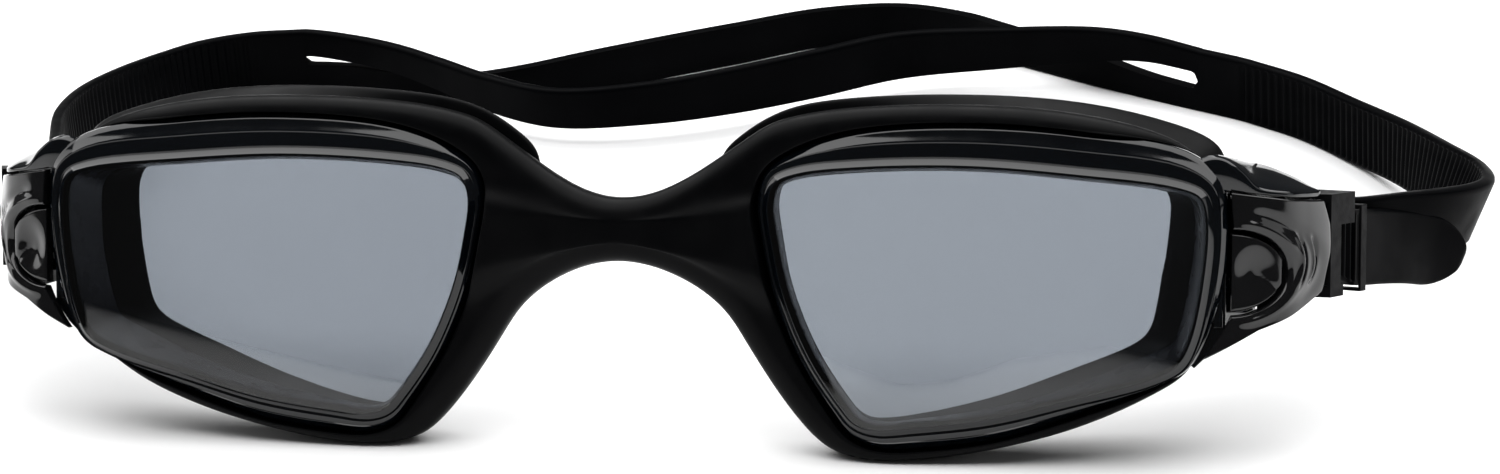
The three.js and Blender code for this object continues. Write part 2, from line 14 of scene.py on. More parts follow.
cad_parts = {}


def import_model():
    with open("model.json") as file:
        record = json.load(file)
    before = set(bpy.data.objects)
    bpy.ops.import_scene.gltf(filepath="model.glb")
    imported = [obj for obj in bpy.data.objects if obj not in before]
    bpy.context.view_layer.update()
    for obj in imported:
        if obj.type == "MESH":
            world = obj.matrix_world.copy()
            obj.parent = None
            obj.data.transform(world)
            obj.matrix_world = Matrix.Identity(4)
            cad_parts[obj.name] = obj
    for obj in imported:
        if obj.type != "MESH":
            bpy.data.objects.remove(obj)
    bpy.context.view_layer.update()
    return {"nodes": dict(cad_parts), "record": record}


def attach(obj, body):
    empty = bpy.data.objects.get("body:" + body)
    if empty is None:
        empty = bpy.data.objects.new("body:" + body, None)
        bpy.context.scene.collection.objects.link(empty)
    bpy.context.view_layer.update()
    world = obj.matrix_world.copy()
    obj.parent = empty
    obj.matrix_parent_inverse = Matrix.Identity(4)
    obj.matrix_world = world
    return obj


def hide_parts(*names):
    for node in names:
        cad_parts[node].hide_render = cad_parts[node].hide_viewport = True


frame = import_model()
NODES = frame["nodes"]
BODY = "goggles"
MM = 0.001

# The face frame, from the record: the panes' normal and the point it states on a pane
mount = next(m for m in frame["record"]["mounts"] if m["name"] == "right_pane_face")
BACK = -np.array(mount["axis"], float)
UP = np.array([0, -BACK[2], BACK[1]])
FACE = np.array(mount["pos_m"], float) / MM - np.array([44, 0, 0]) - 20 * UP
TABLE_Z = 0.03  # least height of a skin over the table


def world(p, side=1):
    """Face frame to world, both in millimetres. p is (..., 3)."""
    p = np.asarray(p, float)
    out = p[..., 0:1] * [side, 0, 0] + p[..., 1:2] * BACK + p[..., 2:3] * UP + FACE
    out[..., 2] = np.maximum(out[..., 2], TABLE_Z)
    return out


# Stations round an eye ---------------------------------------------------------------------------

PANE = [
    (18.4, 31.0), (19.3, 33.4), (21.8, 34.5), (29.0, 35.4), (42.0, 35.8), (55.0, 35.0),
    (66.8, 33.7), (69.4, 32.6), (70.2, 30.0), (69.8, 23.0), (68.4, 16.0), (67.0, 13.2),
    (64.0, 11.5), (54.0, 8.6), (45.0, 6.2), (36.0, 4.9), (31.2, 4.5), (29.0, 5.2),
    (27.2, 7.2), (23.5, 12.7), (20.4, 20.0), (19.0, 26.0),
]
BEZEL = [
    1.7, 2.0, 2.8, 4.3, 4.8, 4.9, 4.3, 3.1, 2.2, 2.2, 1.6, 1.2,
    1.1, 2.1, 2.7, 2.7, 2.4, 2.0, 1.7, 1.6, 1.6, 1.6,
]
RIM = [
    (11.4, 35.2), (14.6, 38.2), (19.2, 40.8), (28.3, 42.4), (41.0, 42.9), (54.0, 42.2),
    (66.0, 39.2), (69.8, 35.4), (70.4, 30.5), (70.2, 23.0), (69.2, 15.6), (67.9, 12.2),
    (65.0, 9.8), (54.9, 5.0), (45.9, 2.4), (36.8, 0.6), (30.2, 0.1), (25.6, 1.5),
    (22.3, 4.2), (17.4, 10.6), (13.2, 17.8), (11.2, 26.5),
]
SEAL = [
    (11.4, 36.0), (14.8, 39.4), (19.4, 42.0), (28.3, 43.4), (41.0, 43.8), (54.0, 43.0),
    (65.4, 40.4), (70.9, 37.6), (71.0, 31.8), (69.6, 23.5), (67.6, 17.2), (65.8, 14.4),
    (62.6, 12.2), (54.0, 8.4), (45.5, 5.8), (36.8, 4.2), (30.6, 3.8), (26.0, 4.8),
    (22.3, 7.2), (17.2, 12.6), (13.2, 18.8), (11.6, 27.0),
]
OPENING = [
    (18.0, 31.0), (19.4, 33.3), (22.0, 33.9), (29.1, 34.6), (42.0, 35.0), (54.9, 34.2),
    (62.0, 33.4), (64.1, 32.2), (64.3, 29.4), (63.6, 23.4), (62.7, 17.4), (61.6, 15.2),
    (59.0, 13.6), (53.2, 11.3), (44.6, 8.0), (35.9, 5.8), (31.2, 5.1), (29.2, 5.4),
    (27.2, 7.2), (23.1, 12.5), (19.9, 19.8), (18.5, 25.9),
]
BEHIND = [0, 0, 0, 0, 0, 0, 1, 1, 1, 1, 1, 1, 1, 0, 0, 0, 0, 0, 0, 0, 0, 0]
N = len(PANE)
GAP, FLANGE_BACK, LENS_WALL, PANE_THICK = 0.35, 3.4, 1.3, 1.8
SEAL_RISE = UP[1] / UP[2] * 1.1  # the underside rises at least this steeply, clear of the table


def smooth(x, a, b):
    t = np.clip((np.asarray(x, float) - a) / (b - a), 0, 1)
    return t * t * (3 - 2 * t)


def lerp(a, b, t):
    return a + (b - a) * t


def hump(x, width):
    return math.exp(-((x / width) ** 2))


def spline(points, us, closed):
    """Centripetal Catmull-Rom through the points, at parameters counted in points."""
    pts = np.asarray(points, float)
    n = len(pts)
    out = []
    for u in us:
        k = int(math.floor(u))
        if closed:
            t = u - k
            p = [pts[(k + j) % n] for j in (-1, 0, 1, 2)]
        else:
            k = min(max(k, 0), n - 2)
            t = u - k
            a = pts[k - 1] if k > 0 else 2 * pts[0] - pts[1]
            d = pts[k + 2] if k + 2 < n else 2 * pts[-1] - pts[-2]
            p = [a, pts[k], pts[k + 1], d]
        dt = [max(np.linalg.norm(p[j + 1] - p[j]) ** 0.5, 1e-6) for j in range(3)]
        m1 = ((p[1] - p[0]) / dt[0] - (p[2] - p[0]) / (dt[0] + dt[1]) + (p[2] - p[1]) / dt[1]) * dt[1]
        m2 = ((p[2] - p[1]) / dt[1] - (p[3] - p[1]) / (dt[1] + dt[2]) + (p[3] - p[2]) / dt[2]) * dt[1]
        out.append(
            p[1] + m1 * t
            + (-3 * p[1] + 3 * p[2] - 2 * m1 - m2) * t * t
            + (2 * p[1] - 2 * p[2] + m1 + m2) * t ** 3
        )
    return np.array(out)


def offset(distances):
    out = []
    for i, (x, z) in enumerate(PANE):
        (ax, az), (bx, bz) = PANE[i - 1], PANE[(i + 1) % N]
        length = math.hypot(bx - ax, bz - az)
        out.append((x - (bz - az) / length * distances[i], z + (bx - ax) / length * distances[i]))
    return out


def plus(values, d):
    return [v + d for v in values]


def even(d):
    return [d] * N


def outward(x):
    return smooth(x, 24, 68)


def cup_depth(x):
    return lerp(5.4, 8.5, outward(x))


def seal_depth(x):
    return lerp(7.4, 12.6, outward(x))


DRAFT = [-2.4 if BEHIND[i] and i > 6 else -0.4 - 0.8 * float(outward(PANE[i][0])) for i in range(N)]


def ring(stations, us, depth):
    """Loop of (x, y, z) at parameters us, at depth(x)."""
    xz = spline(stations, us, True)
    return np.column_stack([xz[:, 0], depth(xz[:, 0]) * np.ones(len(xz)), xz[:, 1]])


# Mesh making -------------------------------------------------------------------------------------


def make(name, verts, faces, materials, slots=None, levels=0, angle=180.0):
    """Closed mesh object from vertices in world millimetres, faces turned outwards."""
    me = bpy.data.meshes.new(name)
    me.from_pydata([tuple(v * MM) for v in verts], [], faces)
    bm = bmesh.new()
    bm.from_mesh(me)
    if slots is not None:
        for f, s in zip(bm.faces, slots):
            f.material_index = s
    bmesh.ops.remove_doubles(bm, verts=bm.verts, dist=1e-7)
    bmesh.ops.recalc_face_normals(bm, faces=bm.faces)
    bm.to_mesh(me)
    bm.free()
    for m in materials:
        me.materials.append(m)
    me.polygons.foreach_set("use_smooth", [True] * len(me.polygons))
    if angle < 180:
        me.set_sharp_from_angle(angle=math.radians(angle))
    o = bpy.data.objects.new(name, me)
    bpy.context.scene.collection.objects.link(o)
    if levels:
        m = o.modifiers.new("subdivision", "SUBSURF")
        m.levels = m.render_levels = levels
    return o


def walls(wide, high, n):
    """Faces round the edge of a grid, high rows of wide points, down to its copy n points later."""
    path = (
        list(range(wide))
        + [r * wide + wide - 1 for r in range(1, high)]
        + [(high - 1) * wide + c for c in range(wide - 2, -1, -1)]
        + [r * wide for r in range(high - 2, 0, -1)]
    )
    return [[a, b, n + b, n + a] for a, b in zip(path, path[1:] + path[:1])]


def place(o, body, slot, *nodes):
    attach(o, body)
    if nodes:
        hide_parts(*nodes)


# Materials ---------------------------------------------------------------------------------------


def material(name, color, roughness, **sockets):
    m = bpy.data.materials.new(name)
    m.use_nodes = True
    bsdf = m.node_tree.nodes["Principled BSDF"]
    bsdf.inputs["Base Color"].default_value = (*color, 1)
    bsdf.inputs["Roughness"].default_value = roughness
    for key, value in sockets.items():
        bsdf.inputs[key.replace("_", " ")].default_value = value
    return m, m.node_tree, bsdf


def noise(tree, scale, detail=2.0, stretch=None):
    tex = tree.nodes.new("ShaderNodeTexNoise")
    tex.inputs["Scale"].default_value = scale
    tex.inputs["Detail"].default_value = detail
    coords = tree.nodes.new("ShaderNodeTexCoord")
    if stretch:
        mapping = tree.nodes.new("ShaderNodeMapping")
        mapping.inputs["Scale"].default_value = stretch
        tree.links.new(coords.outputs["Object"], mapping.inputs["Vector"])
        tree.links.new(mapping.outputs["Vector"], tex.inputs["Vector"])
    else:
        tree.links.new(coords.outputs["Object"], tex.inputs["Vector"])
    return tex.outputs["Fac"]


def ramp(tree, fac, a, b, lo=0.35, hi=0.65):
    """Colour or grey between a and b as fac runs from lo to hi."""
    r = tree.nodes.new("ShaderNodeValToRGB")
    wide = lambda c: (*c, 1) if isinstance(c, tuple) else (c, c, c, 1)
    r.color_ramp.elements[0].position, r.color_ramp.elements[1].position = lo, hi
    r.color_ramp.elements[0].color, r.color_ramp.elements[1].color = wide(a), wide(b)
    tree.links.new(fac, r.inputs["Fac"])
    return r.outputs["Color"]


def bump(tree, bsdf, height, strength, distance):
    b = tree.nodes.new("ShaderNodeBump")
    b.inputs["Strength"].default_value = strength
    b.inputs["Distance"].default_value = distance
    tree.links.new(height, b.inputs["Height"])
    tree.links.new(b.outputs["Normal"], bsdf.inputs["Normal"])


def silicone_material(name, gloss):
    m, tree, bsdf = material(name, (0.002, 0.002, 0.003), 0.5, Specular_IOR_Level=gloss)
    link = tree.links.new
    blotches = ramp(tree, noise(tree, 60), (0.0006, 0.0007, 0.0010), (0.0014, 0.0015, 0.0018))
    link(blotches, bsdf.inputs["Base Color"])
    link(ramp(tree, noise(tree, 260, 3), 0.36, 0.46), bsdf.inputs["Roughness"])
    bump(tree, bsdf, noise(tree, 5200, 3), 0.12, 0.00006)
    return m


def smoke_material():
    m, tree, bsdf = material("smoke_pane", (0.3, 0.31, 0.335), 0.015, IOR=1.49, Transmission_Weight=1.0)
    link = tree.links.new
    tint = ramp(tree, noise(tree, 12, 1), (0.175, 0.194, 0.222), (0.19, 0.21, 0.238))
    link(tint, bsdf.inputs["Base Color"])
    link(ramp(tree, noise(tree, 420, 4), 0.012, 0.03, 0.45, 0.75), bsdf.inputs["Roughness"])
    return m


def painted_light_wall_material():
    """The lens's side wall seen through the pane: smoked plastic against the dark silicone, with painted
    light: its colour is set far lighter than the rest of the lens's plastic to stand in for the light on the
    wall.
    """
    m, tree, bsdf = material("smoke_wall_painted_light", (0.02, 0.022, 0.033), 0.3, IOR=1.49, Specular_IOR_Level=0.3)
    link = tree.links.new
    # painted light: the wall's base colour, lighter than the bezel's, stands in for the light on it; the
    # noise only varies it at random
    link(ramp(tree, noise(tree, 40), (0.016, 0.018, 0.027), (0.022, 0.025, 0.037)), bsdf.inputs["Base Color"])
    link(ramp(tree, noise(tree, 300, 3), 0.24, 0.36), bsdf.inputs["Roughness"])
    return m


def gloss_material(name, a, b, rough=(0.05, 0.11)):
    m, tree, bsdf = material(name, a, rough[0], IOR=1.5)
    link = tree.links.new
    link(ramp(tree, noise(tree, 35), a, b), bsdf.inputs["Base Color"])
    link(ramp(tree, noise(tree, 330, 4), rough[0], rough[1]), bsdf.inputs["Roughness"])
    bump(tree, bsdf, noise(tree, 160, 1), 0.03, 0.0004)
    return m


def matte_material():
    m, tree, bsdf = material("matte_black", (0.003, 0.003, 0.003), 0.5, Specular_IOR_Level=0.05)
    link = tree.links.new
    blotches = ramp(tree, noise(tree, 90), (0.0016, 0.0016, 0.0019), (0.0034, 0.0034, 0.0038))
    link(blotches, bsdf.inputs["Base Color"])
    link(ramp(tree, noise(tree, 700, 3), 0.42, 0.56), bsdf.inputs["Roughness"])
    bump(tree, bsdf, noise(tree, 4200, 2), 0.2, 0.00008)
    return m


def steel_material():
    m, tree, bsdf = material("steel", (0.55, 0.56, 0.57), 0.3, Metallic=1.0)
    link = tree.links.new
    streaks = noise(tree, 900, 2, (1, 1, 0.05))
    link(ramp(tree, streaks, (0.46, 0.47, 0.48), (0.6, 0.61, 0.62)), bsdf.inputs["Base Color"])
    link(ramp(tree, streaks, 0.24, 0.4), bsdf.inputs["Roughness"])
    return m


def floor_material():
    m, tree, bsdf = material("table", (0.9, 0.9, 0.9), 0.7, Specular_IOR_Level=0.1)
    tree.links.new(
        ramp(tree, noise(tree, 3), (0.895, 0.895, 0.9), (0.915, 0.915, 0.915)), bsdf.inputs["Base Color"]
    )
    return m


SILICONE = silicone_material("silicone", 0.066)
STRAP_SILICONE = silicone_material("strap_silicone", 0.012)
PAINTED_LIGHT_WALL = painted_light_wall_material()
SMOKE = smoke_material()
GLOSS = gloss_material("gloss_black", (0.003, 0.003, 0.0034), (0.005, 0.005, 0.0055))
BEZEL_GLOSS = gloss_material("smoke_bezel", (0.0008, 0.0014, 0.0024), (0.0016, 0.0024, 0.0036), (0.05, 0.09))
MATTE = matte_material()
STEEL = steel_material()

# Silicone frame ----------------------------------------------------------------------------------

# Outline of the rim and half the bridge at parameters round the eye, where the rim runs into the bridge
BRIDGE_EDGE = [
    (19.0, 17.4, 10.6), (19.35, 15.1, 14.2), (19.6, 13.4, 17.0), (19.8, 11.4, 19.1), (20.0, 8.6, 21.1),
    (20.2, 5.2, 22.7), (20.4, 2.2, 23.45), (20.55, 0, 23.6),
    (20.85, 0, 26.2), (21.15, 0, 27.4), (21.45, 0, 28.6), (21.7, 0, 31.2),
    (21.85, 2.2, 31.35), (22.0, 5.2, 32.2), (22.2, 8.6, 34.0), (22.45, 11.6, 36.0), (22.8, 14.9, 38.3),
    (23.3, 17.2, 39.9),
]
EYE_COLUMNS = 34  # columns of the mesh that follow the rim; the rest follow BRIDGE_EDGE
RIM_MIDDLE = (43, 22)
BRIDGE_FRONT = ([0, 2, 5, 8.4, 11.6, 14.6, 17], [-0.6, -0.5, -0.2, 0.4, 0.8, 0.9, 0.9])
BRIDGE_REAR = ([0, 2, 5, 8.4, 11.6, 14.6, 17], [4.2, 4.2, 4.4, 4.8, 5.0, 5.1, 5.1])


def silicone_skin():
    us = [2 + k * 0.5 for k in range(EYE_COLUMNS)] + [e[0] for e in BRIDGE_EDGE]
    rim = spline(RIM, us, True)
    for k, (_, x, z) in enumerate(BRIDGE_EDGE):
        rim[EYE_COLUMNS + k] = (x, z)
    n = len(us)
    first, last = EYE_COLUMNS + 7, EYE_COLUMNS + 11  # columns that lie on the middle plane
    ends = set(range(first, last + 1))

    behind = np.array([float(np.interp(u % N, range(N + 1), BEHIND + BEHIND[:1])) for u in us])
    front = np.where(behind > 0.5, FLANGE_BACK + GAP, np.interp(rim[:, 0], *BRIDGE_FRONT))
    rear = np.interp(rim[:, 0], *BRIDGE_REAR)
    well = [BEHIND[i - 1] and BEHIND[i] and BEHIND[(i + 1) % N] for i in range(N)]
    inner = spline(offset([b + (-0.2 if well[i] else GAP) for i, b in enumerate(BEZEL)]), us, True)

    # Outward normals of the outline, in the pane plane
    normal = np.zeros_like(rim)
    for c in range(n):
        a, b = rim[c - 1], rim[(c + 1) % n]
        d = b - a
        normal[c] = np.array([-d[1], d[0]]) / max(np.linalg.norm(d), 1e-6)
    for c in ends:
        normal[c] = (0, 0)
    normal[first], normal[last] = (0, -1), (0, 1)
    room = np.linalg.norm(rim - inner, axis=1)
    soft = np.minimum(2.6, 0.8 * room)  # run of the fillet inside the outline
    soft[behind > 0.5] = np.minimum(0.5, 0.5 * room[behind > 0.5])
    drop = np.where(behind > 0.5, 0.7, 2.6)  # depth of the fillet
    drop = np.minimum(drop, (rear - front) * 0.52)

    def edge(inset, depth):
        """Outline moved inwards by inset, its foot lifted clear of the table."""
        p = rim - normal * np.asarray(inset).reshape(-1, 1)
        z = np.maximum(p[:, 1], np.where(p[:, 1] < 6, depth * SEAL_RISE, p[:, 1]))
        x = np.where(np.isin(np.arange(n), list(ends)), 0, p[:, 0])
        return np.column_stack([x, depth * np.ones(n), z])

    def at(stations, depth):
        xz = spline(stations, us, True)
        return np.column_stack([xz[:, 0], depth(xz[:, 0]) * np.ones(n), xz[:, 1]])

    lip = np.column_stack([inner[:, 0], front, inner[:, 1]])
    shelf = edge(soft, front)
    rows = [
        lip + [0, 0.7, 0],
        lip + [0, 0.12, 0],
        lerp(lip, shelf, 0.06),
        lerp(lip, shelf, 0.36),
        lerp(lip, shelf, 0.7),
        shelf,
        edge(soft * 0.60, front + drop * 0.10),
        edge(soft * 0.27, front + drop * 0.32),
        edge(soft * 0.06, front + drop * 0.64),
        edge(soft * 0, front + drop),
    ]
    side_from = 5
    rows += [
        edge(soft * 0, rear - np.minimum(1.2, (rear - front) * 0.25)),
        edge(np.minimum(0.25, soft), rear - 0.45),
        edge(np.minimum(0.9, soft), rear),
    ]
    side_to = len(rows) - 1

    def drawn_in(stations, distance):
        """Stations moved towards the middle of the rim."""
        out = []
        for x, z in stations:
            dx, dz = RIM_MIDDLE[0] - x, RIM_MIDDLE[1] - z
            out.append((x + dx * distance / math.hypot(dx, dz), z + dz * distance / math.hypot(dx, dz)))
        return out

    groove = [(x, max(z, 5.7 * SEAL_RISE if z0 < 6 else 0))
              for (x, z), (_, z0) in zip(drawn_in(RIM, 1.2), RIM)]
    groove_ring = at(groove, lambda x: 5.75)
    seal_foot = at(SEAL, lambda x: seal_depth(x) - 1.35)
    seal_crest = at(drawn_in(SEAL, 0.45), lambda x: seal_depth(x) - 0.42)
    seal_edge = at(OPENING, seal_depth)
    rows += [
        groove_ring,
        lerp(groove_ring, seal_foot, 0.12),
        lerp(groove_ring, seal_foot, 0.85),
        at(SEAL, lambda x: seal_depth(x) - 1.15),
        at(SEAL, lambda x: seal_depth(x) - 0.7),
        seal_crest,
        lerp(seal_crest, seal_edge, 0.55),
        lerp(seal_crest, seal_edge, 0.9),
        at(OPENING, lambda x: seal_depth(x) - 0.12),
        at(OPENING, lambda x: seal_depth(x) - 0.5),
        at(offset(plus(DRAFT, 0.02)), lambda x: cup_depth(x) + GAP + 0.12),
        at(offset(DRAFT), lambda x: cup_depth(x) + GAP),
        at(offset(plus(DRAFT, LENS_WALL + GAP)), lambda x: cup_depth(x) + GAP),
        at(offset(even(LENS_WALL - 0.4 + GAP)), lambda x: FLANGE_BACK + GAP + 0.2),
        at(offset(even(LENS_WALL - 0.4 + GAP + 0.2)), lambda x: FLANGE_BACK + GAP),
        at(offset([b + (-0.7 if BEHIND[i] else GAP) for i, b in enumerate(BEZEL)]),
           lambda x: FLANGE_BACK + GAP + 0.02),
    ]
    rows = np.array(rows)
    count = len(rows)

    verts, faces = [], []
    for side in (1, -1):
        base = len(verts)
        for r in range(count):
            verts.extend(world(rows[r], side))
        for r in range(count):
            r2 = (r + 1) % count
            for c in range(n):
                c2 = (c + 1) % n
                if c in ends and c2 in ends and side_from <= r and r2 <= side_to and r2 > r:
                    continue
                faces.append([base + r * n + c, base + r * n + c2, base + r2 * n + c2, base + r2 * n + c])
    o = make("frame_skin", verts, faces, [SILICONE], levels=2)
    bm = bmesh.new()
    bm.from_mesh(o.data)
    bmesh.ops.remove_doubles(bm, verts=bm.verts, dist=2e-6)
    loose = [v for v in bm.verts if not v.link_faces]
    bmesh.ops.delete(bm, geom=loose, context="VERTS")
    bmesh.ops.recalc_face_normals(bm, faces=bm.faces)
    bm.to_mesh(o.data)
    bm.free()
    return o


place(silicone_skin(), BODY, "silicone", "silicone_frame")

# Lenses ------------------------------------------------------------------------------------------

# The clip cover's outer face in plan (x, y)
COVER = [(70.0, 0.9), (72.8, 1.2), (76.3, 2.8), (79.1, 4.9), (81.0, 8.3), (82.6, 12.4)]


def lens_skin(side, name):
    us = np.arange(0, N, 1 / 6)

    def part(t):
        """Offsets part of the way from the pane's bevel to the flange's edge."""
        return [lerp(0.95, b, t) for b in BEZEL]

    profile = [
        (even(-0.02), lambda x: 0.0), (even(0.12), lambda x: 0.04),
        (even(0.62), lambda x: 0.62), (even(0.78), lambda x: 0.72), (even(0.95), lambda x: 0.66),
        (part(0.12), lambda x: 0.66), (part(0.42), lambda x: 0.84), (part(0.48), lambda x: 0.78),
        (part(0.54), lambda x: 0.86), (part(0.62), lambda x: 1.06), (part(0.8), lambda x: 1.3),
        (part(0.93), lambda x: 1.56), (part(0.985), lambda x: 1.74), (BEZEL, lambda x: 2.0),
        (BEZEL, lambda x: FLANGE_BACK - 0.15), (plus(BEZEL, -0.15), lambda x: FLANGE_BACK),
        (even(LENS_WALL - 0.3), lambda x: FLANGE_BACK), (even(LENS_WALL - 0.4), lambda x: FLANGE_BACK + 0.1),
        (plus(DRAFT, LENS_WALL), lambda x: cup_depth(x) - 0.15),
        (plus(DRAFT, LENS_WALL - 0.15), cup_depth),
        (plus(DRAFT, 0.15), cup_depth), (DRAFT, lambda x: cup_depth(x) - 0.15),
        (even(-0.36), lambda x: PANE_THICK + 0.25), (even(-0.55), lambda x: PANE_THICK + 0.06),
        (even(-0.8), lambda x: PANE_THICK),
    ]
    rows = [ring(offset(d), us, depth) for d, depth in profile]
    n = len(us)
    verts = [v for r in rows for v in world(r, side)]
    faces, slots = [], []
    for r in range(len(rows) - 1):
        for c in range(n):
            c2 = (c + 1) % n
            faces.append([r * n + c, r * n + c2, (r + 1) * n + c2, (r + 1) * n + c])
            # slot 2, the lens's inner wall next to the pane, gets the wall material with painted light
            slots.append(0 if r >= len(rows) - 3 else 2 if r == len(rows) - 4 else 1)
    faces += [list(range(n)), [(len(rows) - 1) * n + c for c in range(n)]]
    slots += [0, 0]
    return make(name, verts, faces, [SMOKE, BEZEL_GLOSS, PAINTED_LIGHT_WALL], slots, angle=32)


def block(name, loops, finish, edge=0.12, angle=40):
    """Closed loft through loops of (x, y, z) in world millimetres, with eased edges."""
    m = len(loops[0])
    verts = [p for loop in loops for p in loop]
    faces = [[i * m + k, i * m + (k + 1) % m, (i + 1) * m + (k + 1) % m, (i + 1) * m + k]
             for i in range(len(loops) - 1) for k in range(m)]
    faces += [list(range(m)), [(len(loops) - 1) * m + k for k in range(m)]]
    o = make(name, verts, faces, [finish], angle=angle)
    if edge:
        ease(o, edge)
    return o


def ease(o, edge):
    m = o.modifiers.new("eased edges", "BEVEL")
    m.width, m.segments, m.limit_method, m.angle_limit = edge * MM, 2, "ANGLE", math.radians(35)
    m.harden_normals = True


# The shoulder's sections along x: depths of its front and back, heights of the same two edges
SHOULDER = [
    (68.6, 1.9, 3.3, 36.6, 37.0), (70.3, 1.5, 3.1, 37.2, 37.5), (71.9, 1.5, 5.0, 37.1, 37.2),
    (74.0, 2.1, 8.4, 35.7, 36.4), (76.0, 3.0, 12.0, 33.7, 35.7), (79.2, 5.4, 12.5, 33.1, 34.4),
    (81.0, 8.7, 12.5, 32.8, 33.4), (82.2, 11.8, 12.5, 32.6, 32.8),
]


def shoulder_skin(side, name):
    """The lens's shoulder over the clip cover: a front edge that drops away and a sloping top."""
    stations = spline(SHOULDER, np.linspace(0, len(SHOULDER) - 1, 43), False)
    loops = []
    for x, front, back, low, high in stations:
        foot = lerp(33.75, 32.2, (x - 70) / 12)
        low = max(low, foot + 0.3)
        high = max(high, foot + 0.35)
        deep, rise = back - front, high - low
        r = min(0.45, 0.35 * deep, 0.6 * (low - foot))
        q = min(0.8, 0.35 * deep, 0.6 * (high - foot))
        slope = rise / deep
        section = [
            (front + 0.1, foot), (front, foot + 0.1), (front, low - r), (front + 0.12 * r, low - 0.5 * r),
            (front + 0.45 * r, low - 0.1 * r), (front + r, low + slope * r),
            (front + 0.35 * deep, low + 0.35 * rise + 0.12), (front + 0.65 * deep, low + 0.65 * rise + 0.12),
            (back - q, high), (back - 0.4 * q, high - 0.12 * q), (back - 0.1 * q, high - 0.5 * q),
            (back, high - q), (back, foot + 0.1), (back - 0.1, foot),
        ]
        loops.append(world([[x, y, z] for y, z in section], side))
    return block(name, loops, BEZEL_GLOSS, 0, 48)


# Lip behind the seam between flange and cover, and the arm in plan, both moulded with the lens
LIP = [
    (67.6, 13.4), (68.6, 12.5), (70.6, 14.5), (72.2, 16.9), (72.2, 33.4), (70.6, 33.4),
    (70.4, 22.0), (69.0, 16.0),
]
ARM = [
    (70.9, 2.0), (71.9, 2.2), (72.3, 5.2), (74.0, 7.8), (74.8, 12.2), (72.6, 12.4), (71.8, 8.8), (70.9, 6.4),
]


def lip_skin(side, name):
    return block(name, [world([[x, y, z] for x, z in LIP], side) for y in (2.7, FLANGE_BACK)], BEZEL_GLOSS)


def arm_skin(side, name):
    return block(name, [world([[x, y, z] for x, y in ARM], side) for z in (17.4, 25, 34.1)], BEZEL_GLOSS)


for side_name, side in (("right", 1), ("left", -1)):
    place(lens_skin(side, f"{side_name}_lens_skin"), BODY, "smoke_lens", f"{side_name}_lens")
    place(shoulder_skin(side, f"{side_name}_shoulder"), BODY, "smoke_lens")
    place(lip_skin(side, f"{side_name}_lip"), BODY, "smoke_lens")
    place(arm_skin(side, f"{side_name}_arm"), BODY, "smoke_lens")

# Clip covers -------------------------------------------------------------------------------------

PAD = dict(x=73.2, z=23.9, wide=5.8, half=4.6, gap=0.4)  # the D: middle of its flat side and size


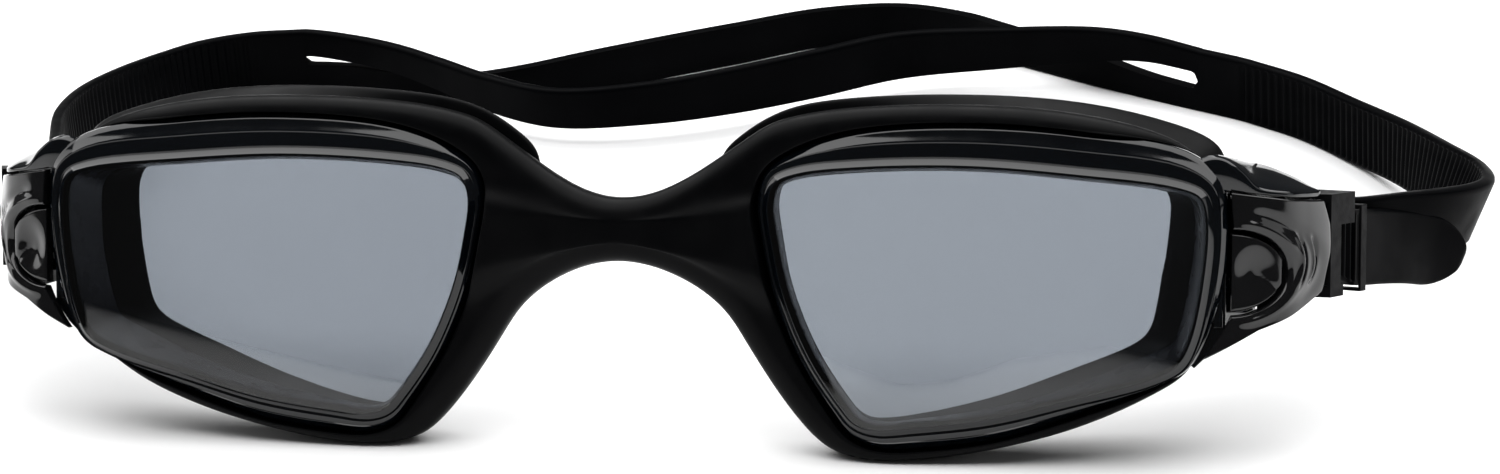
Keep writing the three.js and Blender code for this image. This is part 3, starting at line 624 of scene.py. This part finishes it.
def cover_skin(side, name):
    """Shell wrapped round the D opening: u runs from its upper corner round to the lower one."""
    line = spline(COVER + [(82.95, 13.6)], np.linspace(0, 5.6, 200), False)
    tangents = np.gradient(line, axis=0)
    tangents /= np.linalg.norm(tangents, axis=1)[:, None]
    run = np.concatenate([[0], np.cumsum(np.linalg.norm(np.diff(line, axis=0), axis=1))])

    def on(s, z, depth):
        p = np.array([np.interp(s, run, line[:, 0]), np.interp(s, run, line[:, 1])])
        t = np.array([np.interp(s, run, tangents[:, 0]), np.interp(s, run, tangents[:, 1])])
        t /= np.linalg.norm(t)
        return [p[0] - t[1] * depth, p[1] + t[0] * depth, z]

    def s_at(x):
        return float(np.interp(x, line[:, 0], run))

    end = run[-1] - 0.6
    cols, rows = 170, 66
    wide, half = PAD["wide"] + PAD["gap"], PAD["half"] + PAD["gap"]
    inner = [(s_at(PAD["x"] + wide * math.cos(a)), PAD["z"] + half * math.sin(a))
             for a in np.linspace(math.pi / 2, -math.pi / 2, cols)]
    corners = [
        (s_at(72.9), 33.3), (s_at(79.0), 32.35), (end - 0.5, 31.8), (end + 0.5, 29.0),
        (end + 0.6, 25.4), (end - 0.4, 20.9), (s_at(76.0), 17.1), (s_at(70.0), 13.8),
    ]
    length = np.concatenate([[0], np.cumsum([math.dist(a, b) for a, b in zip(corners, corners[1:])])])
    along = np.linspace(0, length[-1], cols)
    # Corner points stay corners: the nearest sample moves onto each
    for c in length[1:-1]:
        along[np.argmin(abs(along - c))] = c
    outer = list(zip(*(np.interp(along, length, [c[k] for c in corners]) for k in (0, 1))))

    def relief(s, z, v):
        """Depth below the face: raised band round the D, grooves, crowned rear and turned-in edges."""
        x = np.interp(s, run, line[:, 0])
        e = math.hypot((x - PAD["x"]) / wide, (z - PAD["z"]) / half)
        depth = -0.26 * hump(e - 1.17, 0.085) * float(smooth(x, 73.4, 75.5))
        depth += 0.30 * hump(e - 1.42, 0.10) * float(smooth(x, 75, 77)) * float(smooth(z, 19.5, 22))
        for start, reach in ((end * 0.66, 3.0), (end * 0.80, 2.6)):
            k = (z - PAD["z"] - 1.2) / reach
            if abs(k) < 1.3:
                fade = float(1 - smooth(abs(k), 0.55, 1.25))
                d = s - (start + 0.95 * (1 - k * k))
                depth += fade * (0.34 * hump(d, 0.30) - 0.22 * hump(d + 0.75, 0.40))
        crown = max(0.0, 1 - ((z - 26.6) / 6.5) ** 2) * float(smooth(s, 0.45 * end, end))
        depth -= 0.75 * crown
        return depth + 0.35 * (1 - min(v / 0.05, 1)) ** 2 + 0.30 * (1 - min((1 - v) / 0.045, 1)) ** 2

    between = np.linspace(0.08, 0.93, rows - 8)
    vs = np.concatenate([[0, 0.015, 0.03, 0.05], between, [0.955, 0.97, 0.985, 1.0]])
    grid, back = [], []
    for v in vs:
        for (si, zi), (so, zo) in zip(inner, outer):
            s, z = lerp(si, so, v), lerp(zi, zo, v)
            grid.append(world(on(s, z, relief(s, z, v)), side))
            back.append(world(on(s, z, lerp(1.3, 0.45, float(smooth(s, 0.8 * end, end)))), side))
    n = len(grid)
    verts = grid + back
    faces = []
    for r in range(rows - 1):
        for c in range(cols - 1):
            a, b, d, e = r * cols + c, r * cols + c + 1, (r + 1) * cols + c + 1, (r + 1) * cols + c
            faces += [[a, b, d, e], [n + a, n + e, n + d, n + b]]
    faces += walls(cols, rows, n)
    return make(name, verts, faces, [GLOSS], angle=40)


for side_name, side in (("right", 1), ("left", -1)):
    place(cover_skin(side, f"{side_name}_cover_skin"), BODY, "gloss_black", f"{side_name}_clip_cover")

# Head strap --------------------------------------------------------------------------------------

STRAP = dict(width=9.2, thick=1.8, mid=26.4, tip=8.5)  # mid: height on the clip, tip: rounded end
SLOT = 1.6
STRAP_LEAN = 0.4
ROLLER = (79.3, 16.2)
SPLAY = math.radians(23)
RUN = 1.7 + GAP + STRAP["thick"] / 2
THROUGH_CLIP = (
    [(4.5, 34.6, 4.2), (4.2, 33, 3.9), (3.8, 31, 3.5), (3.3, 28, 3.0), (2.9, 22, 2.2), (2.7, 16, 1.7),
     (2.8, 11, 1.4), (RUN, 7, 1.0), (RUN, 3.6, 0.1), (RUN, 2.4, 0)]
    + [(RUN * math.cos(k / 8 * math.pi), -RUN * math.sin(k / 8 * math.pi), 0) for k in range(9)]
    + [(-RUN, 3.5, 0), (-RUN, 7, 0), (-2.6, 11, 0)]
)
RIGHT_LEG = [
    (84.9, 34.6, 17.0), (91.0, 42.2, 14.9), (95.8, 50.4, 12.8), (98.4, 58.5, 11), (97.2, 67.5, 9.6),
    (92.6, 79, 7.8), (87, 91, 6.1), (80, 102, 4.8), (72, 111.4, 4.6), (64, 117.8, 4.6), (57.3, 121.8, 4.6),
]
LEFT_LEG = [
    (-83.6, 38, 16.4), (-88.2, 50, 14.2), (-93.0, 62, 12.4), (-97.4, 75, 10.8), (-99.2, 88, 9.2),
    (-98.4, 100, 7.6), (-95.8, 112, 5.9), (-92.5, 120, 4.9), (-86.5, 124.5, 4.6), (-79, 126, 4.6),
]
BAND = (STRAP["width"] - SLOT) / 2
UPPER, LOWER = STRAP["width"] - BAND / 2, BAND / 2
# The bands beyond the slit's ends: x, y, height of the middle and width
UPPER_BAND = [
    (72, 111.4, UPPER, BAND), (64, 117.8, UPPER, BAND), (57.3, 121.8, UPPER, BAND), (49, 125.9, 7.7, 4.2),
    (41, 128.6, 7.5, 5.0), (26, 130, 6.2, 6.1), (12, 127, 6.0, 7.0), (1, 118.5, 6.1, 7.1),
    (-10, 111.5, 5.9, 6.8), (-21, 106.5, 5.7, 6.1), (-34, 105, 5.3, 5.7), (-46, 110.5, 5.5, 5.4),
    (-55, 116.2, 6.2, 4.6), (-62, 120, 6.9, 4.2), (-70, 123.8, 7.1, 4.0), (-79, 126, UPPER, BAND),
    (-86.5, 124.5, UPPER, BAND), (-92.5, 120, UPPER, BAND),
]
LOWER_BAND = [
    (72, 111.4, LOWER, BAND), (64, 117.8, LOWER, BAND), (57.3, 121.8, LOWER, BAND), (49, 126.6, 2.1, 4.2),
    (41, 131.4, 2.4, 4.8), (26, 141.4, 2.8, 5.6), (18, 147, 2.8, 5.6), (8, 150.4, 2.8, 5.6),
    (-3, 147.6, 2.9, 5.8), (-15, 139.2, 3.1, 6.2), (-25, 132.6, 3.1, 6.2), (-34, 126.4, 3.1, 6.2),
    (-43, 121, 2.9, 5.8), (-52, 119.3, 2.4, 4.8), (-62, 121.4, 2.15, 4.3), (-70, 124.3, 2.15, 4.3),
    (-79, 126, LOWER, BAND), (-86.5, 124.5, LOWER, BAND), (-92.5, 120, LOWER, BAND),
]


def through_clip(side):
    c, s = math.cos(SPLAY), math.sin(SPLAY)
    return [world([ROLLER[0] + u * c + v * s, ROLLER[1] - u * s + v * c, STRAP["mid"] - droop], side)
            for u, v, droop in THROUGH_CLIP]


def on_table(points):
    return [np.array([p[0], p[1] + FACE[1], p[2]]) for p in points]


def resample(points, step, lo=0.0, hi=None):
    """Points, tangents and parameters at even steps along the spline between two control points."""
    hi = len(points) - 1 if hi is None else hi
    us = np.linspace(lo, hi, int((hi - lo) * 24) + 1)
    fine = spline(points, us, False)
    run = np.concatenate([[0], np.cumsum(np.linalg.norm(np.diff(fine, axis=0), axis=1))])
    count = max(2, int(round(run[-1] / step)) + 1)
    at = np.linspace(0, run[-1], count)
    out = np.column_stack([np.interp(at, run, fine[:, k]) for k in range(3)])
    tangent = np.gradient(out, axis=0)
    return out, tangent / np.linalg.norm(tangent, axis=1)[:, None], np.interp(at, run, us)


def band_line(stations):
    """Points, tangents and widths of one band between the slit's ends."""
    points, tangents, us = resample(on_table(stations), 0.6, 1, len(stations) - 3)
    widths = np.interp(us, range(len(stations)), [p[3] for p in stations])
    widths = np.convolve(np.pad(widths, 12, mode="edge"), np.ones(25) / 25, "valid")
    return points, tangents, widths


def strap_frames(points, tangents):
    """Up the width and across the thickness, for each point."""
    depth = points[:, 1] - FACE[1]
    up = lerp(UP[None, :], np.array([[0, 0, 1.0]]), smooth(depth, 28, 58)[:, None])
    up[:, 0] = (points[:, 0] > 0) * STRAP_LEAN * smooth(depth, 38, 54) * (1 - smooth(depth, 62, 96))
    up = up / np.linalg.norm(up, axis=1)[:, None]
    across = np.cross(tangents, up)
    return up, across / np.linalg.norm(across, axis=1)[:, None]


def strap_skin():
    t = STRAP["thick"] / 2
    half = STRAP["width"] / 2
    r = 0.45
    # Half section from the middle of the outer face over the edge to the middle of the inner face
    profile = [
        (0, t), (1.3, t), (2.6, t), (half - 0.75, t), (half - r, t), (half - 0.13, t - 0.13), (half, t - r),
        (half, -t + r), (half - 0.13, -t + 0.13), (half - r, -t), (half - 0.75, -t), (2.6, -t), (1.3, -t),
        (0, -t),
    ]
    k = len(profile)
    inner_from = 10  # from here on the profile lies on the ribbed face
    pitch, depth = 1.45, 0.3  # of the ribs
    step = 0.2  # between two sections of a leg
    whole_to = 8.3  # the slit starts this far along the bands' first stretch

    right, right_t, _ = resample(through_clip(1) + on_table(RIGHT_LEG[:-1]), step)
    left, left_t, _ = resample(through_clip(-1) + on_table(LEFT_LEG), step)
    left, left_t = left[::-1], -left_t[::-1]
    upper, upper_t, upper_w = band_line(UPPER_BAND)
    lower, lower_t, lower_w = band_line(LOWER_BAND)
    verts, faces = [], []

    def section(p, up, across, sign, centre, gap, ribs, scale=1.0, width=BAND):
        """Vertex numbers of a half section. sign 1 is the upper half, centre where p lies on it."""
        out = []
        for j, (v, a) in enumerate(profile):
            if v < gap:
                v = gap
            if v > half - 0.8:
                v += (width - BAND) / 2
            elif v == gap:
                v -= (width - BAND) / 2
            else:
                v = centre + (v - centre) * width / BAND
            if j >= inner_from and ribs and v < half - 0.7:
                a += depth * ribs
            out.append(len(verts))
            q = p + up * sign * (v - centre) * scale + across * a
            q[2] = max(q[2], TABLE_Z)
            verts.append(q)
        return out if sign > 0 else out[::-1]

    def whole(points, tangents, tip_at_start, slit_end):
        ups, acrosses = strap_frames(points, tangents)
        out = []
        total = len(points)
        for i in range(total):
            d_tip = (i if tip_at_start else total - 1 - i) * step
            d_slit = (total - 1 - i if tip_at_start else i) * step + slit_end
            s = min(1, (d_tip + 0.12) / STRAP["tip"])
            scale = math.sqrt(1 - (1 - s) ** 2)
            on = float(smooth(d_tip, 26, 28) * smooth(d_slit, 7, 8.5))
            wave = 0.5 + 0.5 * math.cos(2 * math.pi * d_tip / pitch)
            ribs = on * (1 - wave ** 0.7)
            thin = float(smooth(d_tip, -0.5, 0.9)) * 0.35 + 0.65
            across = acrosses[i] * thin
            top = section(points[i], ups[i], across, 1, 0, 0, ribs, scale)
            low = section(points[i], ups[i], across, -1, 0, 0, ribs, scale)
            out.append((top, low))
        return out

    def even_out(points, tangents, widths, n):
        """The band's points, ups, acrosses and widths at n places."""
        at = np.linspace(0, len(points) - 1, n)
        pick = lambda m: np.column_stack([np.interp(at, range(len(points)), m[:, j]) for j in range(3)])
        ups, acrosses = (pick(m) for m in strap_frames(points, tangents))
        return (pick(points), ups / np.linalg.norm(ups, axis=1)[:, None],
                acrosses / np.linalg.norm(acrosses, axis=1)[:, None],
                np.interp(at, range(len(points)), widths))

    columns = whole(right, right_t, True, whole_to)
    # Both bands get the same number of sections
    count = max(len(upper), len(lower))
    high, high_up, high_across, high_w = even_out(upper, upper_t, upper_w, count)
    deep, deep_up, deep_across, deep_w = even_out(lower, lower_t, lower_w, count)
    shift = SLOT / 2 + BAND / 2
    run = np.concatenate([[0], np.cumsum(np.linalg.norm(np.diff(high, axis=0), axis=1))])
    for i in range(1, count - 1):
        d = run[i] - whole_to
        g = min(d, run[-1] - run[i])
        if g <= 0.05:
            gap = 0.0
        else:
            wide = SLOT / 2 + 0.55 * float(1 - smooth(d, 7, 20))
            gap = wide * math.sqrt(1 - (1 - min(g / 1.1, 1)) ** 2)
        if gap == 0:
            mid = (high[i] + deep[i]) / 2
            mid[2] = half
            top = section(mid, high_up[i], high_across[i], 1, 0, 0, 0)
            low = section(mid, high_up[i], high_across[i], -1, 0, 0, 0)
        else:
            top = section(high[i], high_up[i], high_across[i], 1, shift, gap, 0, width=high_w[i])
            low = section(deep[i], deep_up[i], deep_across[i], -1, shift, gap, 0, width=deep_w[i])
        columns.append((top, low, gap > 0))
    columns += whole(left, left_t, False, 0.0)

    def strip(a, b):
        for j in range(k - 1):
            faces.append([a[j], b[j], b[j + 1], a[j + 1]])

    flags = [len(c) > 2 and c[2] for c in columns]
    for i in range(len(columns) - 1):
        a, b = columns[i], columns[i + 1]
        strip(a[0], b[0])
        strip(a[1], b[1])
        if flags[i] or flags[i + 1]:
            faces.append([a[0][-1], b[0][-1], b[0][0], a[0][0]])
            faces.append([a[1][-1], b[1][-1], b[1][0], a[1][0]])
    for top, low in (columns[0][:2], columns[-1][:2]):
        faces.append(top + low)
    # Where the strap is whole, its two halves share the points in the middle
    joined = {}
    for c, split_here in zip(columns, flags):
        if not split_here:
            joined[c[1][0]] = c[0][-1]
            joined[c[1][-1]] = c[0][0]
    faces = [[joined.get(v, v) for v in f] for f in faces]
    clean = []
    for f in faces:
        g = [v for j, v in enumerate(f) if v != f[j - 1]]
        if len(set(g)) >= 3:
            clean.append(g)
    used = sorted({v for f in clean for v in f})
    number = {v: j for j, v in enumerate(used)}
    return make("strap_skin", [verts[v] for v in used], [[number[v] for v in f] for f in clean],
                [STRAP_SILICONE], angle=50)


place(strap_skin(), BODY, "silicone", "head_strap")

# Release levers ----------------------------------------------------------------------------------

LEVER = dict(x=77.5, y=7.6, boss=1.3)


def cover_line(x):
    """Depth of the cover's outer face at x, and its inward direction in plan."""
    line = spline(COVER, np.linspace(0, 5, 200), False)
    t = np.gradient(line, axis=0)
    i = int(np.argmin(abs(line[:, 0] - x)))
    t = t[i] / np.linalg.norm(t[i])
    return np.interp(x, line[:, 0], line[:, 1]), np.array([-t[1], t[0]])


def pad_skin(side, name):
    """D-shaped thumb pad with rolled edges and a dish."""
    cols, rows = 44, 33
    front, back = [], []
    for i in range(cols):
        a = i / (cols - 1) * math.radians(87)
        x = PAD["x"] - 0.1 + (PAD["wide"] + 0.1) * math.sin(a)
        half = PAD["half"] * math.cos(a)
        y, inward = cover_line(x)
        for j in range(rows):
            t = math.sin((j / (rows - 1) - 0.5) * math.pi)
            z = PAD["z"] + half * t
            r = math.hypot((x - 75.6) / 2.7, (z - PAD["z"] + 0.3) / 3.5)
            dish = 0.62 * (1 - float(smooth(r, 0.15, 1.05)))
            fold = 0.16 * hump((z - PAD["z"]) * 0.82 + (x - 76.8) * 0.57 + 0.9, 0.42)
            fold *= float(smooth(x, 75.2, 77.0))
            to_round = (PAD["wide"] - (x - PAD["x"])) / PAD["wide"]
            rim = min(1 - abs(t), to_round, (x - 73.05) / 2.5 + 0.02) / 0.07
            roll = 0.34 * (1 - min(max(rim, 0), 1)) ** 2
            d = 0.42 + dish + fold + roll
            front.append([x + inward[0] * d, y + inward[1] * d, z])
            back.append([x + inward[0] * 1.7, y + inward[1] * 1.7, z])
    n = len(front)
    faces = []
    for i in range(cols - 1):
        for j in range(rows - 1):
            a, b, c, d = i * rows + j, i * rows + j + 1, (i + 1) * rows + j + 1, (i + 1) * rows + j
            faces += [[a, b, c, d], [n + a, n + d, n + c, n + b]]
    faces += walls(rows, cols, n)
    return make(name, world(front + back, side), faces, [GLOSS], angle=45)


def lever_arm(side, name, plan, heights):
    loops = [world([[x, y, z] for x, y in plan], side) for z in np.linspace(*heights, 3)]
    return block(name, loops, GLOSS)


BOSS = [(LEVER["x"] + LEVER["boss"] * math.cos(a), LEVER["y"] + LEVER["boss"] * math.sin(a))
        for a in np.linspace(0, 2 * math.pi, 32, endpoint=False)]
STEM = [(75.0, 3.6), (77.9, 5.3), (78.6, 7.2), (76.6, 7.6), (75.4, 5.6)]
TAIL = [(76.7, 8.2), (78.5, 7.8), (80.0, 10.6), (ROLLER[0] + 0.45, ROLLER[1] - 4.3), (79.1, 11.4)]

for side_name, side in (("right", 1), ("left", -1)):
    body = f"{side_name}_lever"
    place(pad_skin(side, f"{side_name}_pad"), body, "gloss_black", f"{side_name}_release_lever")
    place(lever_arm(side, f"{side_name}_stem", STEM, (22.4, 26.0)), body, "gloss_black")
    place(lever_arm(side, f"{side_name}_boss", BOSS, (21.85, 26.4)), body, "gloss_black")
    place(lever_arm(side, f"{side_name}_tail", TAIL, (22.4, 26.0)), body, "gloss_black")

# Clip bases, keepers and rollers with eased edges, pins and springs as they are ------------------


def eased(node, body, edge):
    """Copy of a CAD node with its flat faces joined up and its edges eased."""
    source = NODES[node]
    me = source.data.copy()
    me.transform(source.matrix_world)
    bm = bmesh.new()
    bm.from_mesh(me)
    bmesh.ops.remove_doubles(bm, verts=bm.verts, dist=1e-7)
    bmesh.ops.dissolve_limit(bm, angle_limit=math.radians(0.5), verts=bm.verts, edges=bm.edges)
    bm.to_mesh(me)
    bm.free()
    me.materials.clear()
    me.materials.append(MATTE)
    me.polygons.foreach_set("use_smooth", [True] * len(me.polygons))
    me.set_sharp_from_angle(angle=math.radians(35))
    o = bpy.data.objects.new(f"{node}_eased", me)
    bpy.context.scene.collection.objects.link(o)
    ease(o, edge)
    place(o, body, "matte_black", node)


for side_name in ("right", "left"):
    eased(f"{side_name}_clip_base", BODY, 0.16)
    eased(f"{side_name}_strap_keeper", BODY, 0.12)
    eased(f"{side_name}_strap_roller", f"{side_name}_roller", 0.12)
    for piece in ("lever_pin", "lever_spring", "roller_pin"):
        o = NODES[f"{side_name}_{piece}"]
        o.data.materials.clear()
        o.data.materials.append(STEEL)

# Table, light and camera --------------------------------------------------------------------------


def floor():
    me = bpy.data.meshes.new("table")
    s = 6.0  # half its side, in metres
    me.from_pydata([(-s, -s, 0), (s, -s, 0), (s, s, 0), (-s, s, 0)], [], [[0, 1, 2, 3]])
    me.materials.append(floor_material())
    o = bpy.data.objects.new("table", me)
    bpy.context.scene.collection.objects.link(o)


def area(name, location, target, size, power):
    light = bpy.data.lights.new(name, "AREA")
    light.shape = "RECTANGLE"
    light.size, light.size_y = size
    light.energy = power
    o = bpy.data.objects.new(name, light)
    bpy.context.scene.collection.objects.link(o)
    o.location = location
    o.rotation_mode = "QUATERNION"
    o.rotation_quaternion = (Vector(target) - Vector(location)).to_track_quat("-Z", "Y")


floor()
area("overhead", (0, 0.35, 0.95), (0, 0.25, 0), (2.4, 1.7), 42)
area("left_side", (-1.3, 0.1, 0.55), (0, 0, 0.02), (0.5, 0.9), 3)
area("right_side", (1.4, 0.2, 0.5), (0, 0, 0.02), (0.5, 0.9), 1.4)
world_light = bpy.data.worlds.new("studio")
bpy.context.scene.world = world_light
world_light.use_nodes = True
world_light.node_tree.nodes["Background"].inputs["Color"].default_value = (1, 1, 1, 1)
world_light.node_tree.nodes["Background"].inputs["Strength"].default_value = 0.07
bpy.context.scene.view_settings.view_transform = "Standard"

AZIMUTH, ELEVATION, ROLL = math.radians(13.41), math.radians(21.99), math.radians(-3.83)
LOCATION = (0.1198, -0.5033, 0.2063)
camera = bpy.data.objects.new("camera", bpy.data.cameras.new("camera"))
bpy.context.scene.collection.objects.link(camera)
camera.data.sensor_width = 36
camera.data.lens = 97.8
forward = Vector((
    -math.sin(AZIMUTH) * math.cos(ELEVATION), math.cos(AZIMUTH) * math.cos(ELEVATION), -math.sin(ELEVATION),
))
level = Vector((math.cos(AZIMUTH), math.sin(AZIMUTH), 0))
upright = level.cross(forward)
right_axis = math.cos(ROLL) * level + math.sin(ROLL) * upright
up_axis = -math.sin(ROLL) * level + math.cos(ROLL) * upright
camera.matrix_world = Matrix((
    (right_axis.x, up_axis.x, -forward.x, LOCATION[0]),
    (right_axis.y, up_axis.y, -forward.y, LOCATION[1]),
    (right_axis.z, up_axis.z, -forward.z, LOCATION[2]),
    (0, 0, 0, 1),
))
bpy.context.scene.camera = camera
